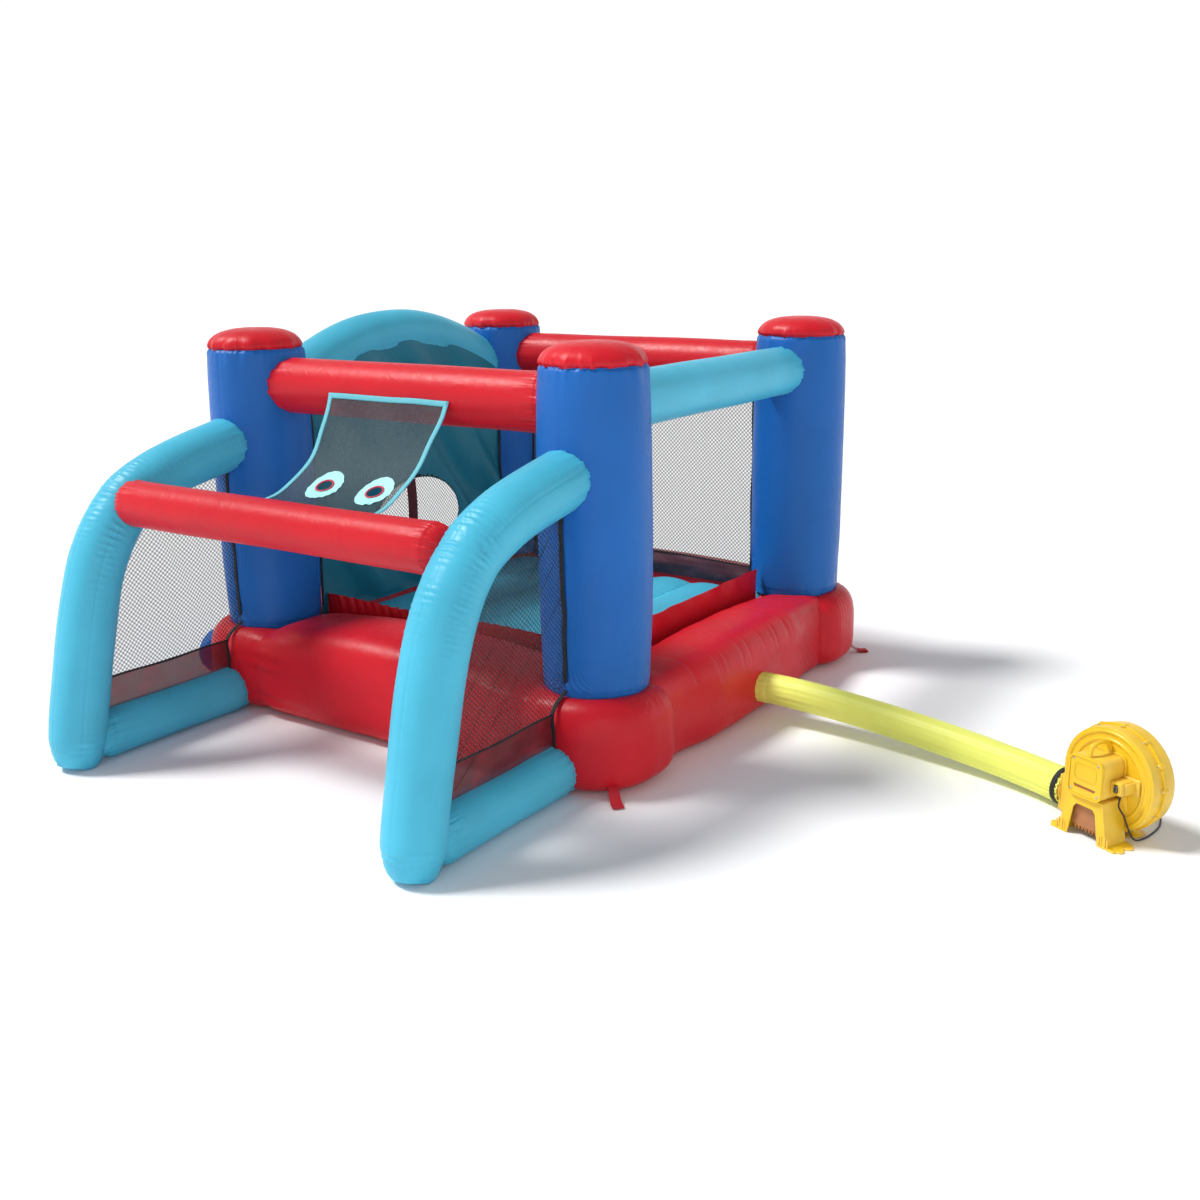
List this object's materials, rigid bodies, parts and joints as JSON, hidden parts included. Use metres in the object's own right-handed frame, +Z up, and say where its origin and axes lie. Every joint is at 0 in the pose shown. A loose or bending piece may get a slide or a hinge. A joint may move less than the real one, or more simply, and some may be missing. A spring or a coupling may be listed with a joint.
{
  "type": "inflatable bounce house",
  "caption": "Inflatable bounce house with corner columns, roof beams, net walls, a front net bay with ring targets, an air sleeve and an electric blower.",
  "frame": {"origin": "on the ground, at the centre of the bounce floor's underside", "axes": "+Z up, -Y towards the front bay, +X to the side the air sleeve leaves from"},
  "size_m": [4.7868, 3.5655, 1.8789],
  "materials": {
    "red": "satin",
    "blue": "satin",
    "cyan": "satin",
    "teal": "satin",
    "net": "matte",
    "hem": "satin",
    "target": "matte",
    "sleeve": "satin",
    "shell": "satin",
    "inner": "satin",
    "black": "matte",
    "steel": "satin"
  },
  "bodies": {
    "house": {"column_front_left": "blue", "cap_front_left": "red", "anchor_loop_front_left": "red", "column_front_right": "blue", "cap_front_right": "red", "anchor_loop_front_right": "red", "column_rear_left": "blue", "cap_rear_left": "red", "anchor_loop_rear_left": "red", "column_rear_right": "blue", "cap_rear_right": "red", "anchor_loop_rear_right": "red", "base_front": "red", "base_rear": "red", "base_left": "red", "base_right": "red", "beam_front": "red", "beam_rear": "red", "crossbar_front": "red", "sill_right": "red", "sill_front": "red", "bounce_floor": "cyan", "beam_right": "cyan", "arch_beam_left": "cyan", "side_arch_left": "cyan", "side_arch_right": "cyan", "ground_tube_left": "cyan", "ground_tube_right": "cyan", "bolster_left": "blue", "wall_panel_left": "teal", "window_net": "net", "side_net_left": "net", "side_net_right": "net", "rear_net": "net", "target_net": "net", "side_hem_left": "hem", "side_hem_right": "hem", "rear_hem": "hem", "target_ring_left": "target", "target_ring_right": "target", "air_sleeve": "sleeve", "casing_motor_side": "shell", "casing_inlet_side": "shell", "inlet_grille": "shell", "outlet_collar": "shell", "motor_housing": "shell", "motor_end_cover": "shell", "carry_handle": "shell", "switch_box": "shell", "blower_stand": "shell", "cord_gland": "black", "cord_lead": "black", "cord_coil": "black", "cord_plug": "black", "sleeve_strap": "black", "motor_body": "steel"},
    "fan": {"fan_wheel": "inner", "motor_shaft": "steel"},
    "rocker": {"switch_rocker": "black"}
  },
  "joints": [
    {"name": "fan_spin", "type": "hinge", "parent": "house", "child": "fan", "pos_m": [3, -0.385, 0.22], "axis": [0.4439, 0.8961, 0], "continuous": true},
    {"name": "rocker_tilt", "type": "hinge", "parent": "house", "child": "rocker", "pos_m": [3.02968, -0.5526, 0.235], "axis": [0.8961, -0.4439, 0], "range_deg": [0, 20]}
  ]
}
